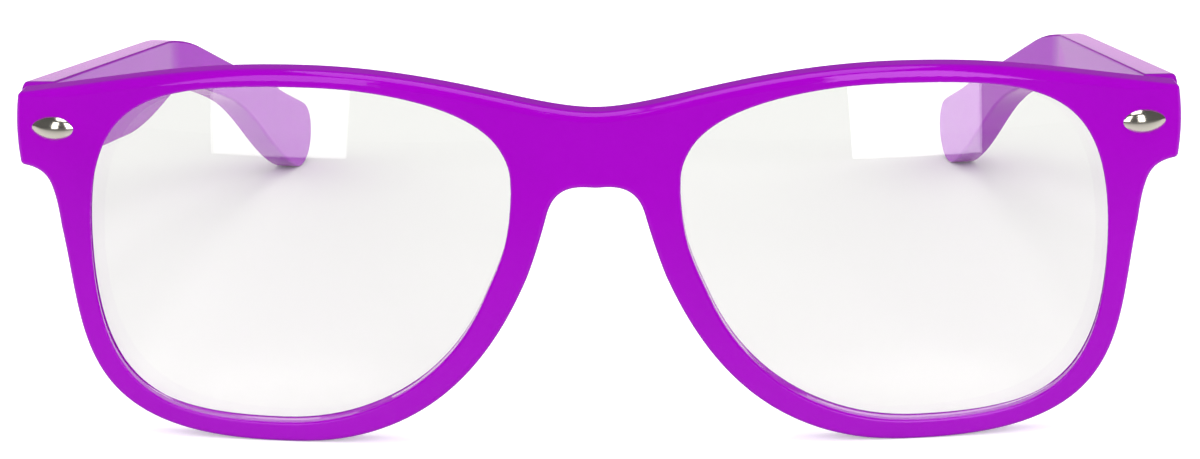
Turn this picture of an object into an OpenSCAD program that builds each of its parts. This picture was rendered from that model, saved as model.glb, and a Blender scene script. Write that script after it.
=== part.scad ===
// Clear lens sunglasses: a moulded front with two clear lenses, and two arms on barrel hinges.
// Millimetres. X runs across the face, Y from the front back to the ear tips, Z up.
// The glasses stand open on a table, on the bottoms of both rims and on both ear tips.
// Every piece of the right side (+X) is drawn once, and its left twin is the same piece mirrored.

/* [Lenses] */
// Width of each lens opening
lens_w = 53.3; // [46:0.1:60]
// Height of each lens opening
lens_h = 43.1; // [36:0.1:50]
// Gap between the two openings, at the nose
lens_gap = 20.4; // [16:0.1:26]
// Thickness of each lens
lens_t = 1.8; // [1.4:0.1:2]
// Radius of the lens's curved front
lens_r = 131; // [110:1:180]
// Depth of the groove that holds the lens
groove_depth = 0.8; // [0.5:0.1:1]
// Clearance between the lens and its groove
lens_clear = 0.1; // [0.05:0.01:0.2]

/* [Front] */
// Thickness of the front, from rim face to rim back
front_t = 4; // [3.6:0.1:5]
// Radius of the front's gentle wrap round the face
face_r = 300; // [200:5:500]
// Width of the rim over a lens
rim_top = 2.1; // [1.8:0.1:4]
// Width of the rim under a lens
rim_bottom = 2; // [1.8:0.1:4]
// Width of the rim beside a lens, at the temple side
rim_side = 2.6; // [2.2:0.1:4.5]
// Height of the bridge at its middle
bridge_h = 8.7; // [6:0.1:11]
// Dip of the bridge's top below the tops of the rims
bridge_dip = 5.4; // [3:0.1:8]
// Width of the flat face in the middle of the bridge
bridge_flat = 14; // [6:0.5:18]
// Width of the nose arch under the bridge
arch_w = 11.8; // [9:0.1:13]
// Depth of the round part of the nose arch
arch_h = 3.4; // [2:0.1:5]

/* [End pieces] */
// Reach of each end piece past its rim
end_reach = 5.9; // [5:0.1:8]
// Height of each end piece
end_h = 9.2; // [8.5:0.1:11]
// Drop of the end piece's top corner below the tops of the rims
end_drop = 3.9; // [2:0.1:5]
// Radius of the end piece's corners
end_corner_r = 0.6; // [0.4:0.1:1.6]
// Bulge of the end piece's outer edge
end_bulge = 0.5; // [0:0.1:0.6]
// Thickness of the end piece at its outer edge
end_t = 4.2; // [3.6:0.1:6]

/* [Nose pads] */
// Height of each moulded nose pad
pad_h = 19; // [14:0.5:22]
// Depth of each nose pad behind the front
pad_depth = 4.6; // [3:0.1:6]
// Thickness of each nose pad
pad_t = 2.3; // [1.8:0.1:3]
// Height of the middle of the nose pads above the table
pad_z = 21; // [18:0.5:23]

/* [Studs] */
// Length of the oval dome of each stud
stud_w = 5.2; // [4.4:0.1:6]
// Height of the oval dome
stud_h = 2.9; // [2.4:0.1:3.6]
// Rise of the dome above its seat
stud_rise = 0.9; // [0.7:0.1:1.2]
// Depth of the seat in the end piece
seat_depth = 0.15; // [0.1:0.05:0.3]
// Radius of the stud's two rivet posts
post_r = 0.6; // [0.5:0.05:0.7]
// Distance between the two posts
post_gap = 2.6; // [2.2:0.1:2.8]
// Clearance round a rivet post or a small screw
fit_clear = 0.03; // [0.02:0.01:0.05]

/* [Hinges] */
// Outer radius of the hinge barrels
barrel_r = 1.35; // [1.25:0.05:1.5]
// Radius of the hinge screw's shank
pin_r = 0.7; // [0.6:0.05:0.75]
// Radius of the hinge screw's head
pin_head_r = 1.05; // [0.9:0.05:1.1]
// Running clearance round the hinge screw
pin_clear = 0.05; // [0.03:0.01:0.08]
// Overall height of the three barrels
hinge_h = 6.6; // [6:0.1:7.2]
// Height of the middle barrel, which turns with the arm
middle_h = 2.4; // [2:0.1:2.8]
// Gap between neighbouring barrels
barrel_gap = 0.1; // [0.05:0.05:0.2]
// Gap between a barrel and the plastic beside it
barrel_room = 0.3; // [0.2:0.05:0.6]
// Thickness of the hinge leaves
leaf_t = 1; // [0.8:0.1:1.2]
// Length of the leaf let into the arm
leaf_len = 9.5; // [8:0.5:12]
// Height of the leaf let into the arm
leaf_h = 5.8; // [5:0.1:6.4]
// Clearance round a leaf in its pocket
leaf_clear = 0.05; // [0.03:0.01:0.1]
// Radius of the heads of the small screws in the arm
screw_head_r = 1.1; // [0.9:0.05:1.2]
// Radius of the shanks of the small screws
screw_r = 0.6; // [0.5:0.05:0.7]
// Length of the small screws
screw_len = 3; // [2.4:0.1:3.2]

/* [Arms] */
// Gap between an open arm and its end piece
butt_gap = 0.3; // [0.2:0.05:0.6]
// Thickness of the arm
arm_t = 4; // [3.8:0.1:5]
// Inset of the arm's outer face from the end of the front
arm_inset = 0.4; // [0:0.1:1]
// Height of the arm at the hinge
arm_h = 9.4; // [9:0.1:11]
// Greatest height of the arm, half way along
belly_h = 10.8; // [9.5:0.1:12.5]
// Height of the arm behind the ear bend
neck_h = 5.2; // [4.6:0.1:9]
// Height of the rounded ear tip
tip_h = 10.3; // [8:0.1:11]
// Length of the arm from its front to the ear bend
arm_run = 79.5; // [72:0.5:90]
// Length from the ear bend to the end of the tip
ear_run = 60; // [52:0.5:64]
// Radius of the top edge where it bends over the ear
ear_r = 53; // [30:1:60]
// Slope of the arm down towards the ear
arm_slope = 8.4; // [6:0.1:11]
// Angle at which each arm leans in
arm_lean = 3.1; // [1:0.1:4]
// Length of the arm from its front to where it turns further in
turn_run = 77; // [60:0.5:90]
// Radius of that turn
turn_r = 38; // [20:1:80]
// Angle of that turn
ear_turn = 9.9; // [4:0.1:14]

/* [Hidden] */

plastic = [0.66, 0, 0.82];
steel = [0.78, 0.77, 0.74];
clear = [0.93, 0.93, 0.92, 0.3];

// Facets on small round things, and on the long arcs of the lenses and the front
$fn = 64;
long_fn = 300;
// Points on each stretch of a curved outline, and on each rounded corner
steps = 14;
corner_steps = 5;

// The lens opening, by the places of its four outermost points
lens_in_x = lens_gap / 2;
lens_out_x = lens_in_x + lens_w;
lens_mid_x = lens_in_x + lens_w / 2;
lens_peak_x = lens_in_x + 0.501 * lens_w;
lens_foot_x = lens_in_x + 0.547 * lens_w;
lens_top_z = rim_bottom + lens_h;
lens_mid_z = rim_bottom + lens_h / 2;
lens_in_z = rim_bottom + 0.744 * lens_h;
lens_out_z = rim_bottom + 0.539 * lens_h;

// The outline of the front
rim_z = lens_top_z + rim_top;
rim_out_x = lens_out_x + rim_side;
end_x = rim_out_x + end_reach;
end_top_z = rim_z - end_drop;
end_low_z = end_top_z - end_h;
bridge_z = rim_z - bridge_dip;
arch_z = bridge_z - bridge_h;
// Where the rim's side turns out to the end piece
waist = [rim_out_x + 0.3, lens_out_z + 1.3];
// Headings of the outline along the nose, up the waist and along the top of the end piece
nose_way = 287.5;
waist_way = 83;
brow_way = 171.4;

// The lens shell lies with its edge half way through the rim's thickness
lens_rise = ((lens_h / 2) ^ 2 / lens_r + (lens_w / 2) ^ 2 * (1 / lens_r - 1 / face_r)) / 4;
lens_turn = asin(lens_mid_x / face_r);
lens_hub = face_r - front_t / 2 + lens_rise - (lens_r - lens_t / 2);

// The front's curved faces share one upright axis, and the bridge's flat is cut into the front one
flat_y = bridge_flat ^ 2 / (8 * face_r);
end_depth = face_r - sqrt(face_r ^ 2 - end_x ^ 2) + end_t;

// The stud's dome is a spindle along X, sunk until it stands out by its rise
stud_x = rim_out_x + 1;
stud_z = (end_top_z + end_low_z) / 2 + 0.3;
stud_turn = asin(stud_x / face_r);
stud_y = face_r - sqrt(face_r ^ 2 - stud_x ^ 2);
spindle_sink = (stud_h ^ 2 / (4 * stud_rise) - stud_rise) / 2;
spindle_arc = ((stud_w / 2) ^ 2 + stud_rise ^ 2) / (2 * stud_rise);
flare_h = 0.35;
flare = 0.3;

// The hinge, behind the flat back of the end piece and inside the arm
arm_out_x = end_x - arm_inset;
arm_in_x = arm_out_x - arm_t;
hinge_x = arm_in_x - barrel_r - barrel_room;
hinge_y = end_depth + barrel_r + barrel_room;
hinge_z = (end_top_z + end_low_z) / 2;
leaf_in_x = hinge_x - barrel_r - 0.6;
leaf_out_x = stud_x + post_gap / 2 + post_r + 0.8;
pin_head_h = 0.6;
slot_w = 0.3;
slot_depth = 0.3;
screw_head_h = 0.5;
screw_places = [0.33, 0.75];
leaf_start = leaf_h / 2 * sin(arm_slope) + 0.1;

// The arm's top edge: straight down its slope, round the ear bend, then straight to the tip
arm_y = end_depth + butt_gap;
arm_top = [arm_y, end_top_z + 0.3];
bend_top = arm_top + arm_run * [1, -tan(arm_slope)];
rear_y = bend_top[0] + ear_run;
bend_mid = bend_top - ear_r * way(90 - arm_slope);
tip_mid = [rear_y - tip_h / 2, tip_h / 2];
tip_reach = tip_mid - bend_mid;
tip_run = sqrt(tip_reach * tip_reach - (ear_r - tip_h / 2) ^ 2);
tip_way = atan2(tip_reach[1], tip_reach[0]) - atan2(ear_r - tip_h / 2, tip_run);
// Distances along that edge: to the bend, to its end, to the tip, and to the belly and the neck
arm_len = arm_run / cos(arm_slope);
bend_end = arm_len + ear_r * (-tip_way - arm_slope) * PI / 180;
tip_end = bend_end + tip_run;
belly_on = 0.45 * arm_run;
belly_off = 0.6 * arm_run;
neck_at = arm_len + 0.46 * (tip_end - arm_len);
// Where the arm's outer face turns further in
turn_from = [arm_out_x - turn_run * tan(arm_lean), arm_y + turn_run];

middle_y = (flat_y + rear_y) / 2;

// The unit vector of a heading in degrees, anticlockwise from the first axis
function way(g) = [cos(g), sin(g)];

// A smooth curve from a to b that leaves at heading ga and arrives at heading gb, and keeps to
// each heading for a share of its run. The end point belongs to the next stretch of the outline.
function bend(a, ga, share_a, b, gb, share_b) =
    let (run = b - a,
         c = a + share_a * abs(run * way(ga)) * way(ga),
         d = b - share_b * abs(run * way(gb)) * way(gb))
    [for (i = [0:steps - 1]) let (t = i / steps, u = 1 - t)
        u ^ 3 * a + 3 * u ^ 2 * t * c + 3 * u * t ^ 2 * d + t ^ 3 * b];

// The point of a corner of radius r round middle m where an anticlockwise outline has heading g
function corner_point(m, r, g) = m + r * way(g - 90);
function corner(m, r, g1, g2) = [for (i = [0:corner_steps - 1])
    corner_point(m, r, g1 + (g2 - g1) * i / corner_steps)];

// The points of a closed anticlockwise outline, moved outwards by d
function grow(p, d) = [for (i = [0:len(p) - 1])
    let (n = len(p), t = p[(i + 1) % n] - p[(i + n - 1) % n])
    p[i] + d * [t[1], -t[0]] / norm(t)];

function back_to_front(p) = [for (i = [len(p) - 1:-1:0]) p[i]];
function mirrored(p) = [for (q = p) [-q[0], q[1]]];

function lens_outline() = concat(
    bend([lens_out_x, lens_out_z], 90, 0.91, [lens_peak_x, lens_top_z], 180, 0.68),
    bend([lens_peak_x, lens_top_z], 180, 0.56, [lens_in_x, lens_in_z], 270, 0.71),
    bend([lens_in_x, lens_in_z], 270, 0.64, [lens_foot_x, rim_bottom], 0, 0.57),
    bend([lens_foot_x, rim_bottom], 0, 0.7, [lens_out_x, lens_out_z], 90, 0.87));

// The edge of the front beside the nose, from the arch down to the bottom of the rim
function nose_edge() =
    bend([arch_w / 2, arch_z - arch_h], nose_way, 0.43, [lens_foot_x, 0], 0, 0.61);

// The right half of the front's outline, from the arch round to the top of the bridge
function front_half() =
    let (edge_x = end_x - end_bulge - end_corner_r,
         low = [edge_x, end_low_z + end_corner_r],
         high = [edge_x, end_top_z - end_corner_r],
         low_end = corner_point(low, end_corner_r, 82),
         high_start = corner_point(high, end_corner_r, 98))
    concat(
        bend([0, arch_z], 0, 0.24, [arch_w / 2, arch_z - arch_h], nose_way, 0.86),
        nose_edge(),
        bend([lens_foot_x, 0], 0, 0.99, waist, 79.2, 0.45),
        bend(waist, waist_way, 0.6, corner_point(low, end_corner_r, 8), 8, 0.63),
        corner(low, end_corner_r, 8, 82),
        bend(low_end, 82, 0.34, high_start, 98, 0.34),
        corner(high, end_corner_r, 98, brow_way),
        bend(corner_point(high, end_corner_r, brow_way), brow_way, 0.42,
             [lens_peak_x, rim_z], 180, 0.4),
        bend([lens_peak_x, rim_z], 180, 0.49, [0, bridge_z], 180, 0.21),
        [[0, bridge_z]]);

function front_outline() =
    let (right = front_half(), n = len(right))
    concat(right, mirrored([for (i = [n - 2:-1:1]) right[i]]));

// Radius of the stud's spindle at a distance x from its middle
function spindle_r(x) = spindle_sink + stud_rise - spindle_arc + sqrt(spindle_arc ^ 2 - x ^ 2);

// Turns an outline drawn in X and Z into a solid between two depths
module upright(y1, y2) {
    translate([0, y2, 0]) rotate([90, 0, 0]) linear_extrude(y2 - y1) children();
}

// Puts children on both sides, as drawn and mirrored
module both_sides() {
    children();
    mirror([1, 0, 0]) children();
}

// Puts the middle of the open glasses over the origin
module placed() {
    translate([0, -middle_y, 0]) children();
}

module lens_opening(edge) {
    upright(-2, end_depth + 2) polygon(grow(lens_outline(), edge));
}

// The curved sheet that a lens is cut from, thicker by a gap on each face
module lens_sheet(gap) {
    translate([lens_hub * sin(lens_turn), face_r - lens_hub * cos(lens_turn), lens_mid_z])
    difference() {
        sphere(r = lens_r + gap, $fn = long_fn);
        sphere(r = lens_r - lens_t - gap, $fn = long_fn);
    }
}

module lens() {
    color(clear) intersection() {
        lens_opening(groove_depth - lens_clear);
        lens_sheet(0);
    }
}

module lens_groove() {
    intersection() {
        lens_opening(groove_depth);
        lens_sheet(lens_clear);
    }
}

module face_cylinder(r) {
    translate([0, face_r, -1]) cylinder(r = r, h = rim_z + 2, $fn = long_fn);
}

// Space behind the front, which leaves each end piece a block with a flat back for the hinge
module behind_front() {
    difference() {
        face_cylinder(face_r - front_t);
        both_sides() translate([leaf_in_x - 0.9, 0, end_low_z])
            cube([end_x, end_depth, hinge_z + hinge_h / 2 + 0.8 - end_low_z]);
    }
}

// A moulded pad: the edge beside the nose, carried back and rounded in side view
module nose_pad() {
    round_r = ((pad_h / 2) ^ 2 + pad_depth ^ 2) / (2 * pad_depth);
    edge = nose_edge();
    intersection() {
        upright(front_t / 2, front_t + pad_depth + 1)
            polygon(concat(edge, back_to_front([for (p = edge) p + [pad_t, 0]])));
        translate([0, front_t + pad_depth - round_r, pad_z])
            rotate([0, 90, 0]) cylinder(r = round_r, h = lens_foot_x, $fn = 120);
    }
}

// Places children on the face of the end piece, looking straight out of it
module at_stud() {
    translate([stud_x, stud_y, stud_z]) rotate([0, 0, stud_turn])
        translate([0, seat_depth, 0]) children();
}

module stud_seat() {
    half = [for (i = [-8:8]) let (x = stud_w / 2 * i / 8)
        [x, -sqrt(max(0, spindle_r(x) ^ 2 - spindle_sink ^ 2))]];
    oval = concat(half, [for (i = [15:-1:1]) [half[i][0], -half[i][1]]]);
    at_stud() upright(-seat_depth - 1, 0) polygon(grow(oval, fit_clear));
}

// The two rivet posts, from the dome to the back of the hinge leaf, with room all round
module posts(room) {
    for (side = [-1, 1]) let (x = side * post_gap / 2)
        translate([stud_x + x, 0, stud_z]) rotate([-90, 0, 0]) {
            start = stud_y + seat_depth + x * tan(stud_turn) - stud_rise / 3;
            translate([0, 0, start]) cylinder(r = post_r + room, h = end_depth - start);
            translate([0, 0, end_depth - flare_h])
                cylinder(r1 = post_r + room, r2 = post_r + room + flare, h = flare_h);
        }
}

module stud() {
    spindle = [for (i = [-8:8]) let (x = stud_w / 2 * i / 8) [spindle_r(x), x]];
    color(steel) union() {
        at_stud() intersection() {
            translate([0, spindle_sink, 0]) rotate([0, 90, 0])
                rotate_extrude() polygon(concat([[0, -stud_w / 2]], spindle, [[0, stud_w / 2]]));
            translate([-stud_w, -stud_rise - 1, -stud_h]) cube([2 * stud_w, stud_rise + 1, 2 * stud_h]);
        }
        posts(0);
    }
}

module front_leaf_plate(room) {
    translate([leaf_in_x - room, end_depth - leaf_t - room, hinge_z - hinge_h / 2 - room])
        cube([leaf_out_x - leaf_in_x + 2 * room, leaf_t + room, hinge_h + 2 * room]);
}

module front_frame() {
    placed() color(plastic) difference() {
        union() {
            difference() {
                intersection() {
                    upright(0, end_depth) polygon(front_outline());
                    face_cylinder(face_r);
                }
                behind_front();
            }
            both_sides() nose_pad();
        }
        translate([-bridge_flat, -1, arch_z - arch_h - 8]) cube([2 * bridge_flat, 1 + flat_y, rim_z]);
        both_sides() {
            lens_opening(0);
            lens_groove();
            stud_seat();
            posts(fit_clear);
            translate([0, 0.01, 0]) front_leaf_plate(leaf_clear);
        }
    }
}

// The upper or lower end barrel of the front leaf, with the neck that joins it to the plate
module end_barrel(side) {
    low = middle_h / 2 + barrel_gap;
    high = hinge_h / 2;
    translate([hinge_x, hinge_y, hinge_z + (side > 0 ? low : -high)]) {
        cylinder(r = barrel_r, h = high - low);
        translate([-barrel_r, end_depth - hinge_y - leaf_t / 2, 0])
            cube([2 * barrel_r, hinge_y - end_depth + leaf_t / 2, high - low]);
    }
}

module pin_bore() {
    translate([hinge_x, hinge_y, hinge_z - hinge_h]) cylinder(r = pin_r + pin_clear, h = 2 * hinge_h);
}

module front_hinge_leaf() {
    color(steel) difference() {
        union() {
            front_leaf_plate(0);
            end_barrel(1);
            end_barrel(-1);
        }
        pin_bore();
        translate([hinge_x, hinge_y, hinge_z + hinge_h / 2 - pin_head_h])
            cylinder(r = pin_head_r + pin_clear, h = hinge_h);
        posts(fit_clear);
    }
}

// A slotted head's slot, across the origin
module slot(head_r) {
    translate([-2 * head_r, -slot_w / 2, -slot_depth]) cube([4 * head_r, slot_w, 2 * slot_depth]);
}

module hinge_screw() {
    top = hinge_h / 2;
    color(steel) translate([hinge_x, hinge_y, hinge_z]) difference() {
        union() {
            translate([0, 0, -top]) cylinder(r = pin_r, h = hinge_h);
            translate([0, 0, top - pin_head_h + 0.02]) cylinder(r = pin_head_r, h = pin_head_h - 0.02);
        }
        translate([0, 0, top]) rotate([0, 0, 25]) slot(pin_head_r);
    }
}

// Places children on the arm's inner face at its front end, with Y along the arm
module at_arm() {
    translate([arm_in_x, arm_y, hinge_z]) rotate([0, 0, arm_lean]) rotate([-arm_slope, 0, 0]) children();
}

// The leaf let into the arm, or its pocket with room all round, which is open at the arm's end
module arm_leaf_plate(room, ahead) {
    at_arm() translate([-room, leaf_start - room - ahead, -leaf_h / 2 - room])
        cube([leaf_t + 2 * room, leaf_len + 2 * room + ahead, leaf_h + 2 * room]);
}

// The two small screws, from the inner face outwards, with room all round
module arm_screw_shapes(room) {
    at_arm() for (place = screw_places)
        translate([0, leaf_start + place * leaf_len, 0]) rotate([0, 90, 0]) {
            translate([0, 0, -room]) cylinder(r = screw_r + room, h = screw_len + 2 * room);
            cylinder(r1 = screw_head_r + room, r2 = screw_r + room, h = screw_head_h);
        }
}

module temple_hinge_leaf() {
    color(steel) difference() {
        union() {
            arm_leaf_plate(0, 0);
            translate([hinge_x, hinge_y, hinge_z - middle_h / 2]) {
                cylinder(r = barrel_r, h = middle_h);
                translate([0, -barrel_r / 2, 0])
                    cube([arm_in_x + leaf_t / 2 - hinge_x, barrel_r, middle_h]);
            }
        }
        pin_bore();
        arm_screw_shapes(fit_clear);
    }
}

module temple_leaf_screws() {
    color(steel) difference() {
        arm_screw_shapes(0);
        at_arm() for (place = screw_places)
            translate([0, leaf_start + place * leaf_len, 0]) rotate([0, -90, 0]) slot(screw_head_r);
    }
}

// A smooth step from a to b as t goes from 0 to 1
function ease(a, b, t) = a + (b - a) * (1 - cos(180 * t)) / 2;

// Place, heading and height under it of the arm's top edge, at a distance s from the hinge end
function edge_way(s) = s < arm_len ? -arm_slope :
    s < bend_end ? -arm_slope - (s - arm_len) / ear_r * 180 / PI : tip_way;
function edge_point(s) = s < arm_len ? arm_top + s * way(-arm_slope) :
    bend_mid + ear_r * way(edge_way(s) + 90) + max(0, s - bend_end) * way(tip_way);
function arm_height(s) =
    s < belly_on ? ease(arm_h, belly_h, s / belly_on) :
    s < belly_off ? belly_h :
    s < neck_at ? ease(belly_h, neck_h, (s - belly_off) / (neck_at - belly_off)) :
    ease(neck_h, tip_h, (s - neck_at) / (tip_end - neck_at));

// The arm in side view: its lower edge, the round of the tip, then back along the top edge
function arm_profile() = concat(
    [for (i = [0:3 * steps]) let (s = i / (3 * steps) * tip_end)
        edge_point(s) + arm_height(s) * way(edge_way(s) - 90)],
    [for (i = [1:3]) tip_mid + tip_h / 2 * way(tip_way * (1 - i / 3) - 90)],
    [for (i = [1:steps]) tip_mid + tip_h / 2 * way((180 + tip_way) * i / steps - 90)],
    [for (i = [0:steps]) edge_point(bend_end + (arm_len - bend_end) * i / steps)],
    [arm_top]);

// The arm in plan: its outer face, and its inner face a thickness inside it
function arm_plan() =
    let (turn_end = turn_from - turn_r * (way(arm_lean) - way(arm_lean + ear_turn)),
         last = arm_lean + ear_turn,
         line = concat(
             [for (i = [0:steps]) let (g = arm_lean + ear_turn * i / steps)
                 [turn_from - turn_r * (way(arm_lean) - way(g)), g]],
             [[turn_end + (ear_run + arm_run - turn_run) * way(last + 90), last]]))
    concat([[arm_out_x, arm_y]], [for (q = line) q[0]],
        back_to_front([for (q = line) q[0] + arm_t * way(q[1] + 180)]),
        [[arm_out_x - arm_t / cos(arm_lean), arm_y]]);

module temple() {
    color(plastic) difference() {
        intersection() {
            rotate([90, 0, 90]) linear_extrude(2 * end_x) polygon(arm_profile());
            linear_extrude(rim_z * 2) polygon(arm_plan());
        }
        arm_leaf_plate(leaf_clear, leaf_len);
        arm_screw_shapes(fit_clear);
    }
}

module lens_right() { placed() lens(); }
module lens_left() { placed() mirror([1, 0, 0]) lens(); }
module stud_right() { placed() stud(); }
module stud_left() { placed() mirror([1, 0, 0]) stud(); }
module front_hinge_leaf_right() { placed() front_hinge_leaf(); }
module front_hinge_leaf_left() { placed() mirror([1, 0, 0]) front_hinge_leaf(); }
module hinge_screw_right() { placed() hinge_screw(); }
module hinge_screw_left() { placed() mirror([1, 0, 0]) hinge_screw(); }
module temple_right() { placed() temple(); }
module temple_left() { placed() mirror([1, 0, 0]) temple(); }
module temple_hinge_leaf_right() { placed() temple_hinge_leaf(); }
module temple_hinge_leaf_left() { placed() mirror([1, 0, 0]) temple_hinge_leaf(); }
module temple_leaf_screws_right() { placed() temple_leaf_screws(); }
module temple_leaf_screws_left() { placed() mirror([1, 0, 0]) temple_leaf_screws(); }

front_frame();
lens_left();
lens_right();
stud_left();
stud_right();
front_hinge_leaf_left();
front_hinge_leaf_right();
hinge_screw_left();
hinge_screw_right();
temple_left();
temple_right();
temple_hinge_leaf_left();
temple_hinge_leaf_right();
temple_leaf_screws_left();
temple_leaf_screws_right();
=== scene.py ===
"""Clear lens sunglasses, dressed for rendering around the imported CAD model."""
import math

import bmesh
import bpy
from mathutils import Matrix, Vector


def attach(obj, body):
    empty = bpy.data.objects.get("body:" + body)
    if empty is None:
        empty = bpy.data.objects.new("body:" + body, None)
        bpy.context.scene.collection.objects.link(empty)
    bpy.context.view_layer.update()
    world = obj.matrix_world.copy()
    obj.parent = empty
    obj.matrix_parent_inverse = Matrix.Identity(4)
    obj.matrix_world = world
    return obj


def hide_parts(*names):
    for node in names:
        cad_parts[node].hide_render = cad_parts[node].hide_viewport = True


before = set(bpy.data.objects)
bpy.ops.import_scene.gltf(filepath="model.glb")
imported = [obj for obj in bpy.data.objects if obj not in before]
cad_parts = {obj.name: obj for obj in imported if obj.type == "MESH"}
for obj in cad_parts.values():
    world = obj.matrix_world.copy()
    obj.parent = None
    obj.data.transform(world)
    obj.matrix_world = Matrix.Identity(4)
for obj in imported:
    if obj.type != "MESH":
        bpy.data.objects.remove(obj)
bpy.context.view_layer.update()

MM = 0.001

# Where the front's foremost line stands, and the sizes that the visible pieces share with the CAD
FRONT_Y = -76.425
FACE_R = 300.0
FRONT_T = 4.0
LENS_W, LENS_H, LENS_GAP = 53.3, 43.1, 20.4
LENS_T, LENS_R, LENS_EDGE = 1.8, 131.0, 0.3
RIM_TOP, RIM_BOTTOM, RIM_SIDE = 2.1, 2.0, 2.6
BRIDGE_H, BRIDGE_DIP, BRIDGE_FLAT = 8.7, 5.4, 14.0
ARCH_W, ARCH_H = 11.8, 3.4
END_REACH, END_H, END_DROP, END_CORNER, END_BULGE = 5.9, 9.2, 3.9, 0.6, 0.5
END_DEPTH = 12.968
ARM_T, ARM_RUN, EAR_RUN, EAR_R = 4.0, 79.5, 60.0, 53.0
ARM_H, BELLY_H, NECK_H, TIP_H = 9.4, 10.8, 5.2, 10.3
ARM_SLOPE, ARM_LEAN = 8.4, 3.1
TURN_RUN, TURN_R, EAR_TURN = 77.0, 38.0, 9.9
HINGE_Z, HINGE_H = 38.7, 6.6

LENS_IN = LENS_GAP / 2
LENS_OUT = LENS_IN + LENS_W
LENS_MID = LENS_IN + LENS_W / 2
PEAK_X = LENS_IN + 0.501 * LENS_W
FOOT_X = LENS_IN + 0.547 * LENS_W
LENS_TOP_Z = RIM_BOTTOM + LENS_H
LENS_MID_Z = RIM_BOTTOM + LENS_H / 2
IN_Z = RIM_BOTTOM + 0.744 * LENS_H
OUT_Z = RIM_BOTTOM + 0.539 * LENS_H
RIM_Z = LENS_TOP_Z + RIM_TOP
RIM_OUT = LENS_OUT + RIM_SIDE
END_X = RIM_OUT + END_REACH
END_TOP = RIM_Z - END_DROP
END_LOW = END_TOP - END_H
BRIDGE_Z = RIM_Z - BRIDGE_DIP
ARCH_Z = BRIDGE_Z - BRIDGE_H
ARCH_END, ARCH_WAY = (ARCH_W / 2, ARCH_Z - ARCH_H), 287.5
ARM_OUT = END_X - 0.4
ARM_IN = ARM_OUT - ARM_T
ARM_Y = END_DEPTH + 0.3
ARM_EXTRA = 1.0

# The hinge, its two leaves and its screws
BARREL_R, PIN_R, PIN_HEAD_R, PIN_HEAD_H = 1.35, 0.7, 1.05, 0.58
MIDDLE_H, BARREL_GAP, LEAF_T = 2.4, 0.1, 1.0
HINGE_TOP, HINGE_FOOT = HINGE_Z + HINGE_H / 2, HINGE_Z - HINGE_H / 2
PLAY, METAL_EDGE = 0.05, 0.12
HINGE_X = ARM_IN - BARREL_R - 0.3
HINGE_Y = END_DEPTH + BARREL_R + 0.3
LEAF_IN, LEAF_OUT = HINGE_X - BARREL_R - 0.6, 69.8
LEAF_LEN, LEAF_H = 9.5, 5.8
LEAF_START = LEAF_H / 2 * math.sin(math.radians(ARM_SLOPE)) + 0.1
SCREW_HEAD_R, SCREW_HEAD_X, SCREW_R = 1.1, 0.22, 0.6
SCREW_PLACES = (0.33, 0.75)

# The oval studs and their two rivet posts
STUD_X, STUD_Z = RIM_OUT + 1, (END_TOP + END_LOW) / 2 + 0.3
STUD_W, STUD_H, STUD_RISE, SEAT = 5.2, 2.9, 0.9, 0.15
POST_R, POST_GAP, FLARE_Y = 0.6, 2.6, END_DEPTH - 0.16
SINK = (STUD_H ** 2 / (4 * STUD_RISE) - STUD_RISE) / 2
SPINDLE_ARC = ((STUD_W / 2) ** 2 + STUD_RISE ** 2) / (2 * STUD_RISE)

# The moulded nose pads
PAD_H, PAD_DEPTH, PAD_T, PAD_Z = 19.0, 4.6, 2.3, 21.0

# Small departures of the visible front from the CAD, measured on the photograph
BRIDGE_LIFT, ARCH_DROP = 0.35, 0.33
FLANK_IN, FLANK_DOWN, FLANK_OUT = 0.35, 0.1, 0.2
RIM_LIP, LIP_OUTER, LIP_CORNER = 0.45, 0.3, 0.5
LIP_FOOT, LIP_NOSE = 0.3, 0.35
RIM_DRAFT, SIDE_DRAFT = 0.55, 0.25
STUD_GROW = 0.12

# Radii of the front's rounded edges; the brow, along the bar and the bridge, has the most
RIM_EDGE, BACK_EDGE, FACE_EDGE, BROW_MORE = 0.35, 0.25, 0.55, 0.75
STRIP = 2.3


# Outlines, drawn in the front's plane as (x, z) in millimetres

def heading(degrees):
    return Vector((math.cos(math.radians(degrees)), math.sin(math.radians(degrees))))


def stretch(start, leave, hold, end, arrive, settle, count=32):
    """Points of one smooth stretch of an outline, without its last point."""
    a, b = Vector(start), Vector(end)
    run = b - a
    c = a + hold * abs(run.dot(heading(leave))) * heading(leave)
    d = b - settle * abs(run.dot(heading(arrive))) * heading(arrive)
    points = []
    for i in range(count):
        t = i / count
        u = 1 - t
        points.append(u ** 3 * a + 3 * u * u * t * c + 3 * u * t * t * d + t ** 3 * b)
    return points


def round_corner(middle, radius, turn_from, turn_to, count=6):
    step = (turn_to - turn_from) / count
    return [middle + radius * heading(turn_from + step * i - 90) for i in range(count)]


def grown(points, by):
    """A closed anticlockwise outline moved outwards."""
    out = []
    for i, point in enumerate(points):
        along = points[(i + 1) % len(points)] - points[i - 1]
        out.append(point + by * Vector((along.y, -along.x)).normalized())
    return out


def lens_outline():
    return (stretch((LENS_OUT, OUT_Z), 90, 0.91, (PEAK_X, LENS_TOP_Z), 180, 0.68)
            + stretch((PEAK_X, LENS_TOP_Z), 180, 0.56, (LENS_IN, IN_Z), 270, 0.71)
            + stretch((LENS_IN, IN_Z), 270, 0.64, (FOOT_X, RIM_BOTTOM), 0, 0.57)
            + stretch((FOOT_X, RIM_BOTTOM), 0, 0.7, (LENS_OUT, OUT_Z), 90, 0.87))


def nose_side():
    """The front's edge from the arch down to the foot of the rim."""
    return stretch(ARCH_END, ARCH_WAY, 0.43, (FOOT_X, 0), 0, 0.61, 40)


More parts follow.
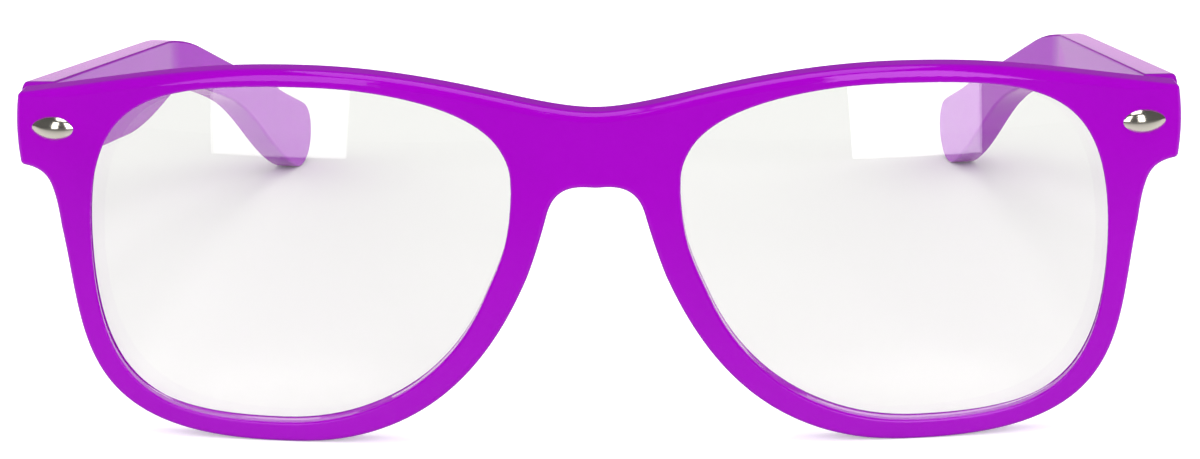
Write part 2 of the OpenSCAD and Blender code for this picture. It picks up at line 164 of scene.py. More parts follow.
def between(value, low, high):
    """How far a value has come from low to high, kept between 0 and 1."""
    return min(1, max(0, (value - low) / (high - low)))


def seen(point):
    """A point of the front's outline, with its flanks moved to where the photograph has them."""
    nose = between(ARCH_END[1] - point.y, 0, 8) * between(FOOT_X - point.x, 0, 6)
    outer = between(point.x - FOOT_X, 0, 10) * between(END_LOW - point.y, 0, 3)
    return Vector((point.x - FLANK_IN * nose + FLANK_OUT * outer, point.y - FLANK_DOWN * nose))


def front_outline():
    edge = END_X - END_BULGE - END_CORNER
    low, high = Vector((edge, END_LOW + END_CORNER)), Vector((edge, END_TOP - END_CORNER))

    def on(middle, way):
        return middle + END_CORNER * heading(way - 90)

    waist, bridge_top = (RIM_OUT + 0.3, OUT_Z + 1.3), (0, BRIDGE_Z + BRIDGE_LIFT)
    side = (stretch((0, ARCH_Z - ARCH_DROP), 0, 0.24, ARCH_END, ARCH_WAY, 0.86, 16)
            + nose_side()
            + stretch((FOOT_X, 0), 0, 0.99, waist, 79.2, 0.45, 40)
            + stretch(waist, 83, 0.6, on(low, 8), 8, 0.63, 16)
            + round_corner(low, END_CORNER, 8, 82)
            + stretch(on(low, 82), 82, 0.34, on(high, 98), 98, 0.34, 8)
            + round_corner(high, END_CORNER, 98, 171.4)
            + stretch(on(high, 171.4), 171.4, 0.42, (PEAK_X, RIM_Z), 180, 0.4, 28)
            + stretch((PEAK_X, RIM_Z), 180, 0.49, bridge_top, 180, 0.21, 32)
            + [Vector(bridge_top)])
    side = [seen(p) for p in side]
    return side + [Vector((-p.x, p.y)) for p in side[-2:0:-1]]


def arm_outline():
    """The arm in side view, with x along the arm from its front end."""
    slope = -ARM_SLOPE
    top = Vector((0, END_TOP + 0.3))
    bend_top = top + ARM_RUN * Vector((1, math.tan(math.radians(slope))))
    bend_mid = bend_top - EAR_R * heading(90 + slope)
    tip_mid = Vector((ARM_RUN + EAR_RUN - TIP_H / 2, TIP_H / 2))
    reach = tip_mid - bend_mid
    tip_run = math.sqrt(reach.dot(reach) - (EAR_R - TIP_H / 2) ** 2)
    tip_way = math.degrees(math.atan2(reach.y, reach.x)
                           - math.atan2(EAR_R - TIP_H / 2, tip_run))
    bend_from = ARM_RUN / math.cos(math.radians(slope))
    bend_end = bend_from + EAR_R * math.radians(slope - tip_way)
    tip_end = bend_end + tip_run
    belly_on, belly_off = 0.45 * ARM_RUN, 0.6 * ARM_RUN
    neck_at = bend_from + 0.46 * (tip_end - bend_from)

    def way_at(s):
        if s < bend_from:
            return slope
        return slope - math.degrees((s - bend_from) / EAR_R) if s < bend_end else tip_way

    def edge_at(s):
        if s < bend_from:
            return top + s * heading(slope)
        return bend_mid + EAR_R * heading(way_at(s) + 90) + max(0, s - bend_end) * heading(tip_way)

    def ease(a, b, t):
        return a + (b - a) * (1 - math.cos(math.pi * t)) / 2

    def height_at(s):
        if s < belly_on:
            return ease(ARM_H, BELLY_H, s / belly_on)
        if s < belly_off:
            return BELLY_H
        if s < neck_at:
            return ease(BELLY_H, NECK_H, (s - belly_off) / (neck_at - belly_off))
        return ease(NECK_H, TIP_H, (s - neck_at) / (tip_end - neck_at))

    places = [tip_end * i / 90 for i in range(91)]
    lower = [edge_at(s) + height_at(s) * heading(way_at(s) - 90) for s in places]
    lower = [p for p in lower if p.x > 0.8]
    tip = [tip_mid + TIP_H / 2 * heading(tip_way - 90 + 180 * i / 24) for i in range(1, 24)]
    upper = [edge_at(s) for s in reversed(places) if s > 2.2]
    brow = [edge_at(1.4), edge_at(0.7) - Vector((0, 0.12)), edge_at(0.2) - Vector((0, 0.42)),
            edge_at(0) - Vector((ARM_EXTRA, 0.75))]
    front_low = edge_at(0) - Vector((ARM_EXTRA, ARM_H / math.cos(math.radians(slope))))
    return [front_low] + lower + tip + upper + brow


# Modelling, one tool at a time

def deselect():
    bpy.ops.object.select_all(action="DESELECT")


def work_on(piece):
    deselect()
    piece.select_set(True)
    bpy.context.view_layer.objects.active = piece


def apply_modifier(piece, modifier):
    work_on(piece)
    bpy.ops.object.modifier_apply(modifier=modifier.name)


def edit_all(piece):
    work_on(piece)
    bpy.ops.object.mode_set(mode="EDIT")
    bpy.ops.mesh.select_all(action="SELECT")


def face_outwards(piece):
    edit_all(piece)
    bpy.ops.mesh.normals_make_consistent(inside=False)
    bpy.ops.object.mode_set(mode="OBJECT")


def plate(name, points, depth, y=0.0):
    """A filled outline with its foremost face at y, pushed back through a depth."""
    deselect()
    bpy.ops.mesh.primitive_circle_add(vertices=len(points), radius=MM, fill_type="NGON")
    piece = bpy.context.object
    piece.name = name
    for vertex, point in zip(piece.data.vertices, points):
        vertex.co = Vector((point.x, y, point.y)) * MM
    edit_all(piece)
    bpy.ops.mesh.extrude_region_move(TRANSFORM_OT_translate={"value": (0, depth * MM, 0)})
    bpy.ops.object.mode_set(mode="OBJECT")
    face_outwards(piece)
    return piece


def block(name, low, high):
    """A box between two corners."""
    deselect()
    low, high = Vector(low) * MM, Vector(high) * MM
    bpy.ops.mesh.primitive_cube_add(size=1, location=(low + high) / 2, scale=high - low)
    piece = bpy.context.object
    piece.name = name
    bpy.ops.object.transform_apply(location=True, rotation=True, scale=True)
    return piece


def rod(name, middle, radius, length, axis="Z", far_radius=None, sides=64):
    """A round bar, or a cone where its far radius differs."""
    deselect()
    turns = {"X": (0, math.pi / 2, 0), "Y": (-math.pi / 2, 0, 0), "Z": (0, 0, 0)}
    bpy.ops.mesh.primitive_cone_add(
        vertices=sides, radius1=radius * MM, depth=length * MM,
        radius2=(radius if far_radius is None else far_radius) * MM,
        location=Vector(middle) * MM, rotation=turns[axis])
    piece = bpy.context.object
    piece.name = name
    bpy.ops.object.transform_apply(location=True, rotation=True, scale=True)
    return piece


def cut(piece, tool, operation="DIFFERENCE"):
    modifier = piece.modifiers.new("cut", "BOOLEAN")
    modifier.object = tool
    modifier.operation = operation
    modifier.solver = "EXACT"
    apply_modifier(piece, modifier)
    bpy.data.objects.remove(tool)


def join_on(piece, other):
    cut(piece, other, "UNION")


def select_edges(piece, test):
    """Selects edges by their middle point, their direction and the angle of their two faces."""
    work_on(piece)
    bpy.ops.object.mode_set(mode="EDIT")
    bpy.ops.mesh.select_mode(type="EDGE")
    bpy.ops.mesh.select_all(action="DESELECT")
    mesh = bmesh.from_edit_mesh(piece.data)
    for edge in mesh.edges:
        if len(edge.link_faces) == 2:
            a, b = edge.verts[0].co / MM, edge.verts[1].co / MM
            turn = edge.link_faces[0].normal.angle(edge.link_faces[1].normal, 0)
            edge.select_set(test((a + b) / 2, (b - a).normalized(), math.degrees(turn)))
    bmesh.update_edit_mesh(piece.data)


def round_edges(piece, test, radius, segments=4):
    select_edges(piece, test)
    bpy.ops.mesh.bevel(offset=radius * MM, segments=segments, affect="EDGES", clamp_overlap=True)
    bpy.ops.object.mode_set(mode="OBJECT")


def round_by_weight(piece, radius_of, segments):
    """Rounds the sharp edges, each by its own radius; the lens rims and the brow differ."""
    mesh = bmesh.new()
    mesh.from_mesh(piece.data)
    weights = mesh.edges.layers.float.new("bevel_weight_edge")
    widest = 0.0
    radii = {}
    for edge in mesh.edges:
        if edge.link_faces[0].normal.angle(edge.link_faces[1].normal, 0) > math.radians(60):
            middle = (edge.verts[0].co + edge.verts[1].co) / 2 / MM
            radii[edge.index] = radius_of(middle)
            widest = max(widest, radii[edge.index])
    for edge in mesh.edges:
        edge[weights] = radii.get(edge.index, 0) / widest
    mesh.to_mesh(piece.data)
    mesh.free()
    bevel = piece.modifiers.new("rounding", "BEVEL")
    bevel.limit_method = "WEIGHT"
    bevel.width = widest * MM
    bevel.segments = segments
    bevel.use_clamp_overlap = False
    apply_modifier(piece, bevel)


def sharp(middle, along, turn):
    return turn > 50


def soften(piece, grain, rounds):
    """Gives a moulded piece an even fine mesh and rubs its edges round."""
    remesh = piece.modifiers.new("grain", "REMESH")
    remesh.mode = "VOXEL"
    remesh.voxel_size = grain * MM
    apply_modifier(piece, remesh)
    rub = piece.modifiers.new("rub", "SMOOTH")
    rub.factor = 0.5
    rub.iterations = rounds
    apply_modifier(piece, rub)


def slice_across(piece, places):
    """Cuts a piece into strips, so that it can follow a curve."""
    for x in places:
        edit_all(piece)
        bpy.ops.mesh.bisect(plane_co=(x * MM, 0, 0), plane_no=(1, 0, 0))
        bpy.ops.object.mode_set(mode="OBJECT")


def trim(piece, spot, side):
    """Cuts away what lies on one side of a plane, and closes the cut.

    The tool's own threshold of 0.1 mm would leave such a small piece torn.
    """
    edit_all(piece)
    bpy.ops.mesh.bisect(plane_co=Vector(spot) * MM, plane_no=side, clear_outer=True, use_fill=True,
                        threshold=0.000001)
    bpy.ops.object.mode_set(mode="OBJECT")


def place(piece, move=(0, 0, 0), turn=(0, 0, 0)):
    """Turns a piece about the origin, moves it and settles both in its mesh."""
    work_on(piece)
    piece.rotation_euler = [math.radians(a) for a in turn]
    piece.location = Vector(move) * MM
    bpy.ops.object.transform_apply(location=True, rotation=True, scale=True)
    return piece


def flip(piece):
    """Mirrors a piece to the other side."""
    work_on(piece)
    piece.scale = (-1, 1, 1)
    bpy.ops.object.transform_apply(location=False, rotation=False, scale=True)
    face_outwards(piece)


def twin(piece, name):
    """The same piece again, on the other side."""
    work_on(piece)
    bpy.ops.object.duplicate()
    other = bpy.context.object
    other.name = name
    flip(other)
    return other


def smooth_faces(piece, angle=35):
    work_on(piece)
    bpy.ops.object.shade_smooth_by_angle(angle=math.radians(angle))
    weighted = piece.modifiers.new("faces", "WEIGHTED_NORMAL")
    weighted.keep_sharp = True
    weighted.weight = 90
    apply_modifier(piece, weighted)


def finish(piece, node, body, material):
    smooth_faces(piece)
    piece.data.materials.clear()
    piece.data.materials.append(material)
    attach(piece, body)
    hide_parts(node)


def finish_pair(piece, name, node, body, material):
    """Moves a right-hand piece into the frame, and finishes it and its twin."""
    place(piece, (0, FRONT_Y, 0))
    piece.name = name + "_right"
    other = twin(piece, name + "_left")
    for half, side in ((piece, "_right"), (other, "_left")):
        rides = "arm" + side if body == "arm" else body
        finish(half, node + side, rides, material)


# Finishes

def shader_of(material):
    return material.node_tree.nodes["Principled BSDF"]


def new_material(name):
    material = bpy.data.materials.new(name)
    material.use_nodes = True
    return material


def set_inputs(node, values):
    for name, value in values.items():
        node.inputs[name].default_value = value


def mottled(material, dark, light, scale, rough, bump=0.0, bump_scale=0.0):
    """Colour, roughness and bump that vary a little over the object."""
    tree = material.node_tree
    nodes, links = tree.nodes, tree.links
    place_node = nodes.new("ShaderNodeTexCoord")
    noise = nodes.new("ShaderNodeTexNoise")
    set_inputs(noise, {"Scale": scale, "Detail": 3})
    links.new(place_node.outputs["Object"], noise.inputs["Vector"])
    colours = nodes.new("ShaderNodeValToRGB")
    colours.color_ramp.elements[0].position = 0.3
    colours.color_ramp.elements[1].position = 0.7
    colours.color_ramp.elements[0].color = (*dark, 1)
    colours.color_ramp.elements[1].color = (*light, 1)
    links.new(noise.outputs["Fac"], colours.inputs["Fac"])
    shader = shader_of(material)
    links.new(colours.outputs["Color"], shader.inputs["Base Color"])
    spread = nodes.new("ShaderNodeMapRange")
    set_inputs(spread, {"To Min": rough[0], "To Max": rough[1]})
    links.new(noise.outputs["Fac"], spread.inputs["Value"])
    links.new(spread.outputs["Result"], shader.inputs["Roughness"])
    if bump:
        grain = nodes.new("ShaderNodeTexNoise")
        set_inputs(grain, {"Scale": bump_scale, "Detail": 2})
        links.new(place_node.outputs["Object"], grain.inputs["Vector"])
        bumps = nodes.new("ShaderNodeBump")
        set_inputs(bumps, {"Strength": bump, "Distance": 0.0001})
        links.new(grain.outputs["Fac"], bumps.inputs["Height"])
        links.new(bumps.outputs["Normal"], shader.inputs["Normal"])
    return shader


purple_plastic = new_material("purple_plastic")
shader = mottled(purple_plastic, (0.262, 0.0, 0.386), (0.282, 0.0, 0.41), 60, (0.05, 0.09))
set_inputs(shader, {"IOR": 1.47, "Specular Tint": (1, 0.5, 1, 1), "Sheen Weight": 0.35,
                    "Sheen Roughness": 0.2, "Sheen Tint": (1, 0.2, 1, 1)})

clear_lens = new_material("clear_lens")
set_inputs(shader_of(clear_lens), {"Base Color": (0.975, 0.98, 0.95, 1), "Roughness": 0,
                                   "Transmission Weight": 1, "IOR": 1.5})

stud_metal = new_material("stud_metal")
shader = mottled(stud_metal, (0.82, 0.77, 0.66), (0.9, 0.86, 0.77), 300, (0.1, 0.18))
set_inputs(shader, {"Metallic": 1})

hinge_metal = new_material("hinge_metal")
shader = mottled(hinge_metal, (0.62, 0.61, 0.59), (0.72, 0.71, 0.69), 500, (0.22, 0.34),
                 0.2, 2500)
set_inputs(shader, {"Metallic": 1})


# The moulded front

def mirrored(points):
    return [Vector((-p.x, p.y)) for p in reversed(points)]


def inside(point, outline):
    """Whether a point (x, z) lies inside an outline."""
    hit = False
    for i, b in enumerate(outline):
        a = outline[i - 1]
        if (a.y > point.y) != (b.y > point.y):
            if point.x < a.x + (b.x - a.x) * (point.y - a.y) / (b.y - a.y):
                hit = not hit
    return hit


def face_depth(x):
    """Depth of the curved face at a place across it; the bridge's middle is flat."""
    x = max(abs(x), BRIDGE_FLAT / 2)
    return FACE_R - math.sqrt(FACE_R ** 2 - x ** 2)


def lens_shape():
    """A piece of the lens's curved sheet, cut to its outline and a little into the rim's wall."""
    turn = math.asin(LENS_MID / FACE_R)
    rise = ((LENS_H / 2) ** 2 / LENS_R + (LENS_W / 2) ** 2 * (1 / LENS_R - 1 / FACE_R)) / 4
    middle_r = LENS_R - LENS_T / 2
    hub = FACE_R - FRONT_T / 2 + rise - middle_r
    centre = Vector((hub * math.sin(turn), FACE_R - hub * math.cos(turn), LENS_MID_Z))
    deselect()
    bpy.ops.mesh.primitive_uv_sphere_add(segments=360, ring_count=180, radius=middle_r * MM,
                                         location=centre * MM)
    piece = bpy.context.object
    piece.name = "lens"
    bpy.ops.object.transform_apply(location=True, rotation=True, scale=True)
    for spot, side in (((LENS_IN - 3, 0, 0), (-1, 0, 0)), ((LENS_OUT + 3, 0, 0), (1, 0, 0)),
                       ((0, 0, -1), (0, 0, -1)), ((0, 0, RIM_Z + 1), (0, 0, 1)),
                       ((0, 90, 0), (0, 1, 0))):
        edit_all(piece)
        bpy.ops.mesh.bisect(plane_co=Vector(spot) * MM, plane_no=side, clear_outer=True)
        bpy.ops.object.mode_set(mode="OBJECT")
    shell = piece.modifiers.new("shell", "SOLIDIFY")
    shell.thickness = LENS_T * MM
    shell.offset = 0
    apply_modifier(piece, shell)
    outline = grown(lens_outline(), LENS_EDGE)
    cut(piece, plate("lens_edge", outline, END_DEPTH + 4, -2), "INTERSECT")
    return piece


def lipped(point, edge):
    """A point of a rim's visible edge, which reaches a little over the lens.

    It reaches furthest at the lower outer corner and least beside the nose and at the top.
    """
    out, up = (edge - point).normalized()
    lip = RIM_LIP + max(0, out) * (LIP_OUTER - LIP_CORNER * min(0, up))
    x, z = edge - lip * Vector((out, up))
    inner = between(FOOT_X - 3 - x, 0, 8)
    x += LIP_FOOT * inner * between(LENS_MID_Z + 4 - z, 0, 8)
    x -= LIP_NOSE * inner * between(z, 20, 25) * between(z, 37, 33)
    z += RIM_LIP * between(z, LENS_MID_Z, LENS_TOP_Z) * between(x, LENS_IN, LENS_IN + 20)
    return Vector((x, z))


lens_line = lens_outline()
opening = [lipped(inner, edge) for inner, edge in zip(grown(lens_line, -1), lens_line)]
near_opening = grown(opening, 0.3)
front = plate("front", front_outline(), FRONT_T)
cut(front, plate("opening", opening, FRONT_T + 4, -2))
cut(front, plate("opening", mirrored(opening), FRONT_T + 4, -2))


def lens_rim(middle):
    return inside(Vector((abs(middle.x), middle.z)), near_opening)


def front_radius(middle):
    if lens_rim(middle):
        return RIM_EDGE
    if middle.y > 0.1:
        return BACK_EDGE
    if middle.z > BRIDGE_Z - 1:
        return FACE_EDGE + BROW_MORE * between(END_X - 2 - abs(middle.x), 0, 5)
    return FACE_EDGE


round_by_weight(front, front_radius, 5)
half = BRIDGE_FLAT / 2
strips = [half + STRIP * i for i in range(int((END_X - half) / STRIP) + 1)]
slice_across(front, strips + [-x for x in strips])
for vertex in front.data.vertices:
    x, y, z = vertex.co / MM
    lean = math.sqrt(1 - min(1, (x / FACE_R) ** 2))
    vertex.co.y = (face_depth(x) + y / lean) * MM
    if lens_rim(vertex.co / MM):
        outer = between(abs(x) - LENS_MID, 0, LENS_W / 2)
        vertex.co.x += math.copysign(RIM_DRAFT * outer * y / FRONT_T, x) * MM
    else:
        vertex.co.x = (x - SIDE_DRAFT * y * x / FACE_R) * MM

# Behind the front: a flat block at each end for the hinge, and two pads that rest on the nose
for side in (1, -1):
    end_block = block("end_block", (LEAF_IN - 0.9, 9.4, END_LOW + 0.35),
                      (END_X - 0.75, END_DEPTH, HINGE_TOP + 0.8))
    round_edges(end_block, lambda m, along, turn: m.y > END_DEPTH - 0.1, 0.3, 3)
    nose_edge = [seen(p) for p in nose_side() if abs(p.y - PAD_Z) < PAD_H / 2 + 0.5]
    strip = ([p - Vector((0.03, 0)) for p in nose_edge]
             + [p + Vector((PAD_T, 0)) for p in reversed(nose_edge)])
    pad = plate("nose_pad", strip, PAD_DEPTH + 3, FRONT_T / 2)
    round_r = ((PAD_H / 2) ** 2 + PAD_DEPTH ** 2) / (2 * PAD_DEPTH)
    cut(pad, rod("pad_round", (FOOT_X / 2, FRONT_T + PAD_DEPTH - round_r, PAD_Z), round_r,
                 FOOT_X, "X", sides=180), "INTERSECT")
    soften(pad, 0.25, 14)
    for part in (end_block, pad):
        if side < 0:
            flip(part)
        join_on(front, part)
    pocket_in, pocket_out = sorted((side * (LEAF_IN - PLAY), side * (LEAF_OUT + PLAY)))
    cut(front, block("leaf_pocket", (pocket_in, END_DEPTH - LEAF_T - PLAY, HINGE_FOOT - PLAY),
                     (pocket_out, END_DEPTH + 1, HINGE_TOP + PLAY)))

place(front, (0, FRONT_Y, 0))
finish(front, "front_frame", "front", purple_plastic)

# The lenses

finish_pair(lens_shape(), "clear_lens", "lens", "front", clear_lens)
for name in ("clear_lens_right", "clear_lens_left"):
    bpy.data.objects[name].visible_shadow = False

# The arms

straight = TURN_RUN / math.cos(math.radians(ARM_LEAN))
arc = TURN_R * math.radians(EAR_TURN)


def laid_out(point):
    """A point of the side view, moved along the arm as if its turn were straightened."""
    lean, past = math.radians(ARM_LEAN), math.radians(ARM_LEAN + EAR_TURN)
    over = point.x - TURN_RUN
    turned = TURN_R * (math.sin(past) - math.sin(lean))
    if over < 0:
        along = over / math.cos(lean)
    elif over < turned:
        along = TURN_R * (math.asin(math.sin(lean) + over / TURN_R) - lean)
    else:
        along = arc + (over - turned) / math.cos(past)
    return Vector((along, point.y))


def at_arm(piece):
    """Brings a piece from the arm's own front corner to its place, sloped and leaning in."""
    return place(piece, (ARM_IN, ARM_Y, HINGE_Z), (-ARM_SLOPE, 0, ARM_LEAN))


def arm_leaf(name, room, ahead=0.0):
    leaf = block(name, (-room, LEAF_START - room - ahead, -LEAF_H / 2 - room),
                 (LEAF_T + room, LEAF_START + LEAF_LEN + room, LEAF_H / 2 + room))
    round_edges(leaf, lambda m, along, turn: abs(along.x) > 0.9 and m.y > LEAF_LEN / 2, 0.9, 5)
    return leaf


arm = plate("arm", [laid_out(p) for p in arm_outline()], ARM_T)
round_edges(arm, lambda m, along, turn: turn > 60 and m.x > -straight - ARM_EXTRA + 0.1, 0.4, 3)
slice_across(arm, [-straight + 2 + 3 * i for i in range(50)] + [0.5 * i for i in range(14)])
start = min(v.co.x for v in arm.data.vertices) / MM
length = arm.dimensions.x / MM
turn_in = arm.modifiers.new("turn_in", "SIMPLE_DEFORM")
turn_in.deform_method = "BEND"
turn_in.deform_axis = "Z"
turn_in.limits = (-start / length, (arc - start) / length)
turn_in.angle = math.radians(EAR_TURN)
apply_modifier(arm, turn_in)
place(arm, (straight, 0, 0))
place(arm, (ARM_OUT, ARM_Y, 0), (0, 0, 90 + ARM_LEAN))
trim(arm, (0, ARM_Y, 0), (0, -1, 0))
round_edges(arm, lambda m, along, turn: turn > 50 and m.y < ARM_Y + 0.02, 0.2, 2)
cut(arm, at_arm(arm_leaf("arm_pocket", PLAY, 4)))
finish_pair(arm, "arm", "temple", "arm", purple_plastic)

# The studs: an oval dome swept along its length, on two rivet posts

def spindle_r(x):
    return SINK + STUD_RISE - SPINDLE_ARC + math.sqrt(SPINDLE_ARC ** 2 - x ** 2)


def at_stud(piece):
    turn = math.degrees(math.asin(STUD_X / FACE_R))
    return place(piece, (STUD_X, face_depth(STUD_X), STUD_Z), (0, 0, turn))


def stud_dome():
    """The part of the spindle that stands out in front of its seat."""
    deselect()
    radius = spindle_r(STUD_W / 2) + STUD_GROW
    middle_y, start_x = (SINK + SEAT) * MM, -(STUD_W / 2 + STUD_GROW) * MM
    bpy.ops.mesh.primitive_circle_add(vertices=64, radius=radius * MM, fill_type="NGON",
                                      location=(start_x, middle_y, 0),
                                      rotation=(0, math.pi / 2, 0))
    dome = bpy.context.object
    dome.name = "stud"
    bpy.ops.object.transform_apply(location=True, rotation=True, scale=True)
    edit_all(dome)
    stations = 20
    step = (STUD_W + 2 * STUD_GROW) / stations
    for i in range(1, stations + 1):
        wide = spindle_r(STUD_W * (i / stations - 0.5)) + STUD_GROW
        ratio = wide / radius
        bpy.ops.mesh.extrude_region_move(TRANSFORM_OT_translate={"value": (step * MM, 0, 0)})
        bpy.ops.transform.resize(value=(1, ratio, ratio), center_override=(0, middle_y, 0))
        radius = wide
    bpy.ops.object.mode_set(mode="OBJECT")
    face_outwards(dome)
    trim(dome, (0, SEAT, 0), (0, 1, 0))
    return dome


stud = at_stud(stud_dome())
for x in (-POST_GAP / 2, POST_GAP / 2):
    near = face_depth(STUD_X + x)
    reach = END_DEPTH - near
    join_on(stud, rod("post", (STUD_X + x, near + reach / 2, STUD_Z), POST_R, reach, "Y"))
    join_on(stud, rod("flare", (STUD_X + x, FLARE_Y, STUD_Z), POST_R, 0.35, "Y", POST_R + 0.3))
finish_pair(stud, "stud", "stud", "front", stud_metal)

# The hinges

def front_leaf():
    leaf = block("front_leaf", (LEAF_IN, END_DEPTH - LEAF_T, HINGE_FOOT),
                 (LEAF_OUT, END_DEPTH, HINGE_TOP))
    round_edges(leaf, lambda m, along, turn: m.y > END_DEPTH - 0.01, METAL_EDGE, 2)
    height = (HINGE_H - MIDDLE_H) / 2 - BARREL_GAP
    for side in (1, -1):
        middle = HINGE_Z + side * (HINGE_H - height) / 2
        join_on(leaf, block("neck", (HINGE_X - BARREL_R + 0.04, END_DEPTH - LEAF_T / 2,
                                     middle - height / 2 + 0.1),
                            (HINGE_X + BARREL_R - 0.04, HINGE_Y, middle + height / 2 - 0.1)))
        barrel = rod("barrel", (HINGE_X, HINGE_Y, middle), BARREL_R, height)
        round_edges(barrel, sharp, METAL_EDGE, 2)
        join_on(leaf, barrel)
    cut(leaf, rod("bore", (HINGE_X, HINGE_Y, HINGE_Z), PIN_R + PLAY, HINGE_H + 2))
    cut(leaf, rod("counterbore", (HINGE_X, HINGE_Y, HINGE_TOP), PIN_HEAD_R + PLAY, 1.2))
    for x in (-POST_GAP / 2, POST_GAP / 2):
        cut(leaf, rod("post_hole", (STUD_X + x, END_DEPTH - 0.5, STUD_Z), POST_R + 0.03, 2, "Y"))
        cut(leaf, rod("post_flare", (STUD_X + x, FLARE_Y, STUD_Z), POST_R + 0.03, 0.36, "Y",
                      POST_R + 0.34))
    return leaf


def hinge_screw():
    screw = rod("hinge_screw", (HINGE_X, HINGE_Y, HINGE_Z - 0.15), PIN_R, HINGE_H - 0.3)
    head = rod("head", (HINGE_X, HINGE_Y, HINGE_Z + (HINGE_H - PIN_HEAD_H) / 2), PIN_HEAD_R,
               PIN_HEAD_H)
    round_edges(head, lambda m, along, turn: turn > 50 and m.z > HINGE_TOP - 0.01, 0.1, 2)
    join_on(screw, head)
    slot = place(block("slot", (-2, -0.15, -0.3), (2, 0.15, 0.3)),
                 (HINGE_X, HINGE_Y, HINGE_TOP), (0, 0, 25))
    cut(screw, slot)
    return screw


def arm_hinge_leaf():
    leaf = arm_leaf("arm_leaf", 0)
    round_edges(leaf, lambda m, along, turn: turn > 50 and m.x < 0.01, METAL_EDGE, 2)
    at_arm(leaf)
    barrel = rod("barrel", (HINGE_X, HINGE_Y, HINGE_Z), BARREL_R, MIDDLE_H)
    round_edges(barrel, sharp, METAL_EDGE, 2)
    join_on(barrel, block("neck", (HINGE_X, HINGE_Y - BARREL_R / 2, HINGE_Z - MIDDLE_H / 2 + 0.1),
                          (ARM_IN + LEAF_T / 2, HINGE_Y + BARREL_R / 2,
                           HINGE_Z + MIDDLE_H / 2 - 0.1)))
    join_on(leaf, barrel)
    cut(leaf, rod("bore", (HINGE_X, HINGE_Y, HINGE_Z), PIN_R + PLAY, HINGE_H + 2))
    for place_on in SCREW_PLACES:
        y = LEAF_START + place_on * LEAF_LEN
        cut(leaf, at_arm(rod("sink", (SCREW_HEAD_X, y, 0), SCREW_HEAD_R + 0.1, 0.55, "X",
                             SCREW_R + PLAY)))
        cut(leaf, at_arm(rod("hole", (1, y, 0), SCREW_R + 0.03, 2, "X")))
    return leaf


def leaf_screws():
    screws = None
    for place_on in SCREW_PLACES:
        y = LEAF_START + place_on * LEAF_LEN
        screw = rod("leaf_screw", (SCREW_HEAD_X, y, 0), SCREW_HEAD_R, 0.56, "X", SCREW_R)
        round_edges(screw, lambda m, along, turn: m.x < 0, METAL_EDGE, 3)
        join_on(screw, rod("shank", (1.6, y, 0), SCREW_R, 2.8, "X"))
        cut(screw, block("slot", (-0.3, y - 2, -0.15), (0.3, y + 2, 0.15)))
        if screws:
            join_on(screws, screw)
        screws = screws or screw
    return at_arm(screws)


finish_pair(front_leaf(), "front_leaf", "front_hinge_leaf", "front", hinge_metal)
finish_pair(hinge_screw(), "screw", "hinge_screw", "front", hinge_metal)
finish_pair(arm_hinge_leaf(), "arm_hinge_leaf", "temple_hinge_leaf", "arm", hinge_metal)
finish_pair(leaf_screws(), "leaf_screws", "temple_leaf_screws", "arm", hinge_metal)

# The table: white to the camera, in a painted shade where it is seen through the lenses, and in
# reflections in a darker painted shade that deepens towards the camera

# The second colour is a painted shade, which the table has only where it is seen through the
# lenses
GROUND, PAINTED_SHADE_THROUGH, CAMERA_LIFT = (0.86, 0.86, 0.86, 1), (0.75, 0.75, 0.75, 1), 0.38
MIX_NO, MIX_YES, MIX_OUT = 6, 7, 2   # a colour mix node's own sockets


def chosen_colour(tree, by, no):
    """A colour mix for one kind of ray, with the colour that all others get."""
    mix = tree.nodes.new("ShaderNodeMix")
    mix.data_type = "RGBA"
    tree.links.new(by, mix.inputs["Factor"])
    if isinstance(no, tuple):
        mix.inputs[MIX_NO].default_value = no
    else:
        tree.links.new(no, mix.inputs[MIX_NO])
    return mix


deselect()
bpy.ops.mesh.primitive_plane_add(size=8)
table = bpy.context.object
table.name = "table"
white = new_material("white_table")
tree = white.node_tree
shader = shader_of(white)
set_inputs(shader, {"Roughness": 1, "Specular IOR Level": 0, "Emission Color": (1, 1, 1, 1)})
rays = tree.nodes.new("ShaderNodeLightPath")
lift = tree.nodes.new("ShaderNodeMath")
lift.operation = "MULTIPLY"
lift.inputs[1].default_value = CAMERA_LIFT
tree.links.new(rays.outputs["Is Camera Ray"], lift.inputs[0])
tree.links.new(lift.outputs["Value"], shader.inputs["Emission Strength"])
# Painted shade for reflections: glossy rays see the table darker, darkest towards the camera
spot = tree.nodes.new("ShaderNodeTexCoord")
parts = tree.nodes.new("ShaderNodeSeparateXYZ")
tree.links.new(spot.outputs["Object"], parts.inputs["Vector"])
painted_reflection_shade = tree.nodes.new("ShaderNodeMapRange")
set_inputs(painted_reflection_shade, {"From Min": -0.2, "From Max": -0.08, "To Min": 0.1, "To Max": 0.55})
tree.links.new(parts.outputs["Y"], painted_reflection_shade.inputs["Value"])
mirrored_only = tree.nodes.new("ShaderNodeMath")
mirrored_only.operation = "GREATER_THAN"
tree.links.new(rays.outputs["Is Glossy Ray"], mirrored_only.inputs[0])
tree.links.new(rays.outputs["Is Transmission Ray"], mirrored_only.inputs[1])
reflected = chosen_colour(tree, mirrored_only.outputs["Value"], GROUND)
tree.links.new(painted_reflection_shade.outputs["Result"], reflected.inputs[MIX_YES])
# Rays through the lenses see the table in its painted shade
through = chosen_colour(tree, rays.outputs["Is Transmission Ray"], reflected.outputs[MIX_OUT])
through.inputs[MIX_YES].default_value = PAINTED_SHADE_THROUGH
tree.links.new(through.outputs[MIX_OUT], shader.inputs["Base Color"])
table.data.materials.append(white)

# The studio

world = bpy.data.worlds.new("studio")
bpy.context.scene.world = world
world.use_nodes = True
nodes, links = world.node_tree.nodes, world.node_tree.links
sky = nodes["Background"]
sky.inputs["Color"].default_value = (1, 1, 1, 1)
rays = nodes.new("ShaderNodeLightPath")


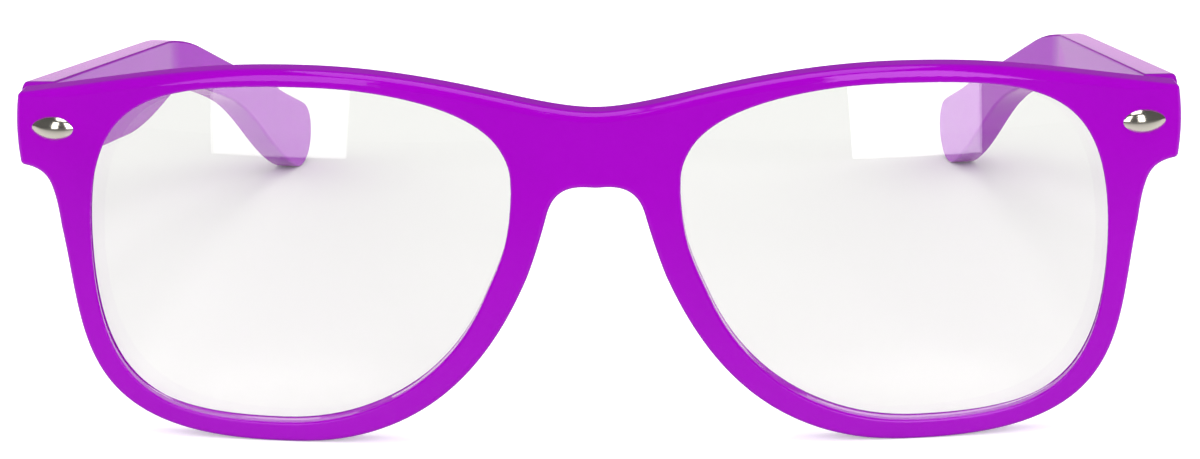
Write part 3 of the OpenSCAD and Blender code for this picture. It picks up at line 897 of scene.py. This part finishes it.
def chosen(by, no, yes):
    """A strength that differs for one kind of ray, from two numbers or outputs."""
    mix = nodes.new("ShaderNodeMix")
    links.new(by, mix.inputs["Factor"])
    for socket, value in ((mix.inputs[2], no), (mix.inputs[3], yes)):
        if isinstance(value, float):
            socket.default_value = value
        else:
            links.new(value, socket)
    return mix.outputs[0]


# White to the camera and through the lenses, dim to glossy surfaces, and to all others a soft
# light that grows upwards and towards both sides
way = nodes.new("ShaderNodeTexCoord")
ways = nodes.new("ShaderNodeSeparateXYZ")
links.new(way.outputs["Generated"], ways.inputs["Vector"])
overhead = nodes.new("ShaderNodeMapRange")
set_inputs(overhead, {"To Min": 0.16, "To Max": 0.44})
links.new(ways.outputs["Z"], overhead.inputs["Value"])
square = nodes.new("ShaderNodeMath")
square.operation = "MULTIPLY"
links.new(ways.outputs["X"], square.inputs[0])
links.new(ways.outputs["X"], square.inputs[1])
beside = nodes.new("ShaderNodeMath")
beside.operation = "MULTIPLY_ADD"
links.new(square.outputs["Value"], beside.inputs[0])
beside.inputs[1].default_value = 2.4
links.new(overhead.outputs["Result"], beside.inputs[2])
lit = chosen(rays.outputs["Is Glossy Ray"], beside.outputs["Value"], 0.08)
lit = chosen(rays.outputs["Is Transmission Ray"], lit, 1.0)
lit = chosen(rays.outputs["Is Camera Ray"], lit, 1.0)
links.new(lit, sky.inputs["Strength"])


def softbox(name, spot, aim, width, height, radiance):
    """A rectangular lamp of an even brightness, aimed at a point."""
    deselect()
    bpy.ops.object.light_add(type="AREA", location=Vector(spot) * MM)
    lamp = bpy.context.object
    lamp.name = name
    lamp.data.shape = "RECTANGLE"
    lamp.data.size, lamp.data.size_y = width * MM, height * MM
    lamp.data.energy = radiance * math.pi * width * height * MM * MM
    away = Vector(spot) - Vector(aim)
    lamp.rotation_euler = away.to_track_quat("Z", "Y").to_euler()
    return lamp


softbox("softbox_left", (-241.1, -595.5, 314.6), (13.6, -46.7, 145.6), 203, 640, 2.5)
softbox("softbox_right", (213, -605.7, 310.7), (-11.8, -46.6, 145.7), 192, 640, 4.2)
softbox("softbox_top", (0, -60, 1000), (0, 0, 0), 460, 900, 2.1)

# The camera, fitted to the outline in the photograph

deselect()
bpy.ops.object.camera_add(location=Vector((15.50, -567.62, 156.14)) * MM,
                          rotation=[math.radians(a) for a in (75.3508, 0.7507, 1.5526)])
camera = bpy.context.object
camera.data.sensor_width = 36
camera.data.lens = 125.176
camera.data.clip_start = 0.01
bpy.context.scene.camera = camera
bpy.context.scene.view_settings.view_transform = "Standard"
